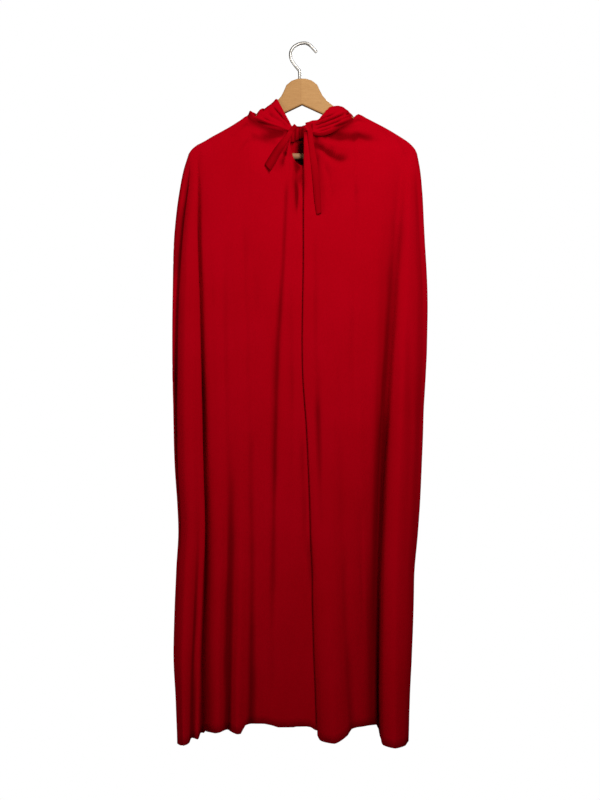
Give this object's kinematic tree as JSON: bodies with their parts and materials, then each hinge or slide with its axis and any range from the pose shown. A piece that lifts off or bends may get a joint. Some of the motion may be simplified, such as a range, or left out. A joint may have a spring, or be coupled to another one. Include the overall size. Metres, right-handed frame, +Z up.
{
  "type": "hooded cape on a wooden hanger",
  "caption": "Long hooded cape with front ties, hanging open-hemmed from a wooden coat hanger with a metal hook and trouser bar.",
  "frame": {"origin": "inner top of the hook's arc, where it rests on a rod or peg", "axes": "+X to the viewer's right, +Y towards the wall behind the cape, +Z up"},
  "size_m": [0.5111, 0.1747, 1.3895],
  "materials": {
    "body_cloth": "soft smooth knit, deep red",
    "hood_cloth": "soft smooth knit, deep red",
    "tie_cloth": "soft smooth knit, deep red",
    "hanger_wood": "pale beech under clear satin lacquer",
    "bar_wood": "pale turned wood",
    "hook_chrome": "bright polished wire"
  },
  "bodies": {
    "root": {"cape_body": "body_cloth", "hood_left": "hood_cloth", "hood_right": "hood_cloth", "tie_left": "tie_cloth", "tie_right": "tie_cloth", "hanger_wood": "hanger_wood", "hanger_bar": "bar_wood", "hanger_hook": "hook_chrome"}
  },
  "joints": []
}
